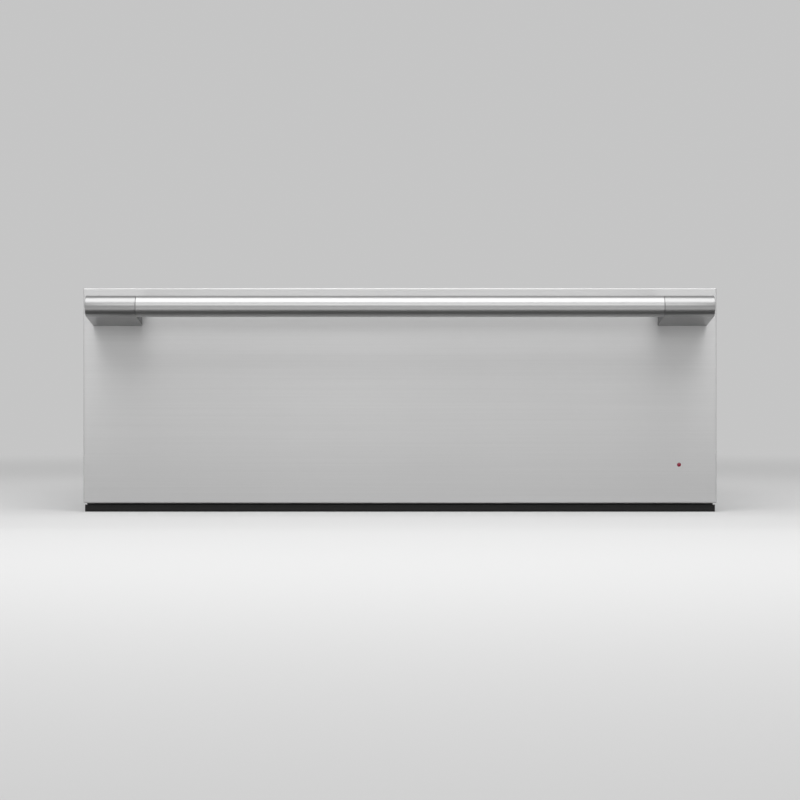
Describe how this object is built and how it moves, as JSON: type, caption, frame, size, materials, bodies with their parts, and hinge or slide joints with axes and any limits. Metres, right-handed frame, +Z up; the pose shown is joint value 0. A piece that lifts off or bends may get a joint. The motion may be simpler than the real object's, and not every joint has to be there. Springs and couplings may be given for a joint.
{
  "type": "warming drawer",
  "caption": "Built-in warming drawer: a stainless front with a full-width round bar handle on a heated, insulated steel chassis; the deep pan rolls out on telescopic ball runners.",
  "frame": {"origin": "centre of the bounding box at the base, under the middle of the whole object", "axes": "+X to the right of someone facing the front, +Y back into the cabinet, +Z up; the drawer opens towards -Y"},
  "size_m": [0.759, 0.638, 0.2685],
  "materials": {
    "front_steel": "horizontal brushed",
    "handle_steel": "fine brushed",
    "inner_steel": "satin",
    "liner_steel": "satin",
    "casing_steel": "galvanised",
    "black_trim": "satin",
    "wool": "matt fibre",
    "seal_rubber": "matt",
    "zinc_fastener": "zinc plated",
    "pilot_red": "gloss",
    "black_plastic": "matt",
    "grey_plastic": "matt",
    "button_plastic": "satin",
    "circuit_board": "satin",
    "runner_zinc": "zinc plated",
    "cage_steel": "bright",
    "element_tube": "heat tinted",
    "white_ceramic": "glazed",
    "fan_aluminium": "rolled",
    "shaft_steel": "ground",
    "motor_paint": "satin"
  },
  "bodies": {
    "chassis": {"back_panel": "casing_steel", "back_screws": "zinc_fastener", "cable_gland": "black_plastic", "cover_screws": "zinc_fastener", "element_bushes": "white_ceramic", "element_clips": "zinc_fastener", "fan_cover": "liner_steel", "fan_cover_screws": "zinc_fastener", "fan_motor": "motor_paint", "floor_insulation": "wool", "front_frame": "casing_steel", "gland_nut": "zinc_fastener", "heating_element": "element_tube", "liner": "liner_steel", "lower_trim": "black_trim", "motor_bracket": "casing_steel", "outer_casing": "casing_steel", "rear_control_box": "grey_plastic", "runner_outer_left": "runner_zinc", "runner_outer_right": "runner_zinc", "side_insulation": "wool", "temperature_sensor": "element_tube", "terminal_block": "black_plastic", "thermal_cutout": "black_plastic", "top_cover": "casing_steel", "top_insulation": "wool"},
    "drawer": {"front_panel": "front_steel", "door_inner_panel": "inner_steel", "door_insulation": "wool", "door_seal": "seal_rubber", "handle_bar": "handle_steel", "handle_bracket_left": "handle_steel", "handle_bracket_right": "handle_steel", "handle_backing_plates": "casing_steel", "handle_screws": "zinc_fastener", "pilot_lens": "pilot_red", "pilot_lamp_holder": "black_plastic", "control_strip": "black_plastic", "control_board": "circuit_board", "drawer_pan": "inner_steel", "pan_screws": "zinc_fastener", "anti_slip_mat": "seal_rubber", "runner_inner_left": "runner_zinc", "runner_inner_right": "runner_zinc"},
    "fan_rotor": {"fan_impeller": "fan_aluminium", "fan_shaft": "shaft_steel"},
    "runner_middle_left": {"runner_middle_left": "runner_zinc"},
    "ball_cage_outer_left": {"ball_cage_outer_left": "cage_steel"},
    "ball_cage_inner_left": {"ball_cage_inner_left": "cage_steel"},
    "runner_middle_right": {"runner_middle_right": "runner_zinc"},
    "ball_cage_outer_right": {"ball_cage_outer_right": "cage_steel"},
    "ball_cage_inner_right": {"ball_cage_inner_right": "cage_steel"},
    "button_power": {"button_power": "button_plastic"},
    "button_function": {"button_function": "button_plastic"},
    "button_temperature": {"button_temperature": "button_plastic"},
    "button_timer": {"button_timer": "button_plastic"}
  },
  "joints": [
    {"name": "drawer_slide", "type": "slide", "parent": "chassis", "child": "drawer", "axis": [0, -1, 0], "range_m": [0, 0.43]},
    {"name": "runner_middle_left_slide", "type": "slide", "parent": "chassis", "child": "runner_middle_left", "axis": [0, -1, 0], "range_m": [0, 0.215]},
    {"name": "ball_cage_outer_left_slide", "type": "slide", "parent": "chassis", "child": "ball_cage_outer_left", "axis": [0, -1, 0], "range_m": [0, 0.1075]},
    {"name": "ball_cage_inner_left_slide", "type": "slide", "parent": "chassis", "child": "ball_cage_inner_left", "axis": [0, -1, 0], "range_m": [0, 0.3225]},
    {"name": "runner_middle_right_slide", "type": "slide", "parent": "chassis", "child": "runner_middle_right", "axis": [0, -1, 0], "range_m": [0, 0.215]},
    {"name": "ball_cage_outer_right_slide", "type": "slide", "parent": "chassis", "child": "ball_cage_outer_right", "axis": [0, -1, 0], "range_m": [0, 0.1075]},
    {"name": "ball_cage_inner_right_slide", "type": "slide", "parent": "chassis", "child": "ball_cage_inner_right", "axis": [0, -1, 0], "range_m": [0, 0.3225]},
    {"name": "fan_spin", "type": "hinge", "parent": "chassis", "child": "fan_rotor", "pos_m": [0, 0.25, 0.14], "axis": [0, 1, 0], "continuous": true},
    {"name": "button_power_press", "type": "slide", "parent": "drawer", "child": "button_power", "axis": [0, 0, -1], "range_m": [0, 0.001], "stiffness_N_per_m": 400},
    {"name": "button_function_press", "type": "slide", "parent": "drawer", "child": "button_function", "axis": [0, 0, -1], "range_m": [0, 0.001], "stiffness_N_per_m": 400},
    {"name": "button_temperature_press", "type": "slide", "parent": "drawer", "child": "button_temperature", "axis": [0, 0, -1], "range_m": [0, 0.001], "stiffness_N_per_m": 400},
    {"name": "button_timer_press", "type": "slide", "parent": "drawer", "child": "button_timer", "axis": [0, 0, -1], "range_m": [0, 0.001], "stiffness_N_per_m": 400}
  ],
  "couplings": [
    {"joint": "runner_middle_left_slide", "follows": "drawer_slide", "ratio": 0.5},
    {"joint": "ball_cage_outer_left_slide", "follows": "drawer_slide", "ratio": 0.25},
    {"joint": "ball_cage_inner_left_slide", "follows": "drawer_slide", "ratio": 0.75},
    {"joint": "runner_middle_right_slide", "follows": "drawer_slide", "ratio": 0.5},
    {"joint": "ball_cage_outer_right_slide", "follows": "drawer_slide", "ratio": 0.25},
    {"joint": "ball_cage_inner_right_slide", "follows": "drawer_slide", "ratio": 0.75}
  ]
}
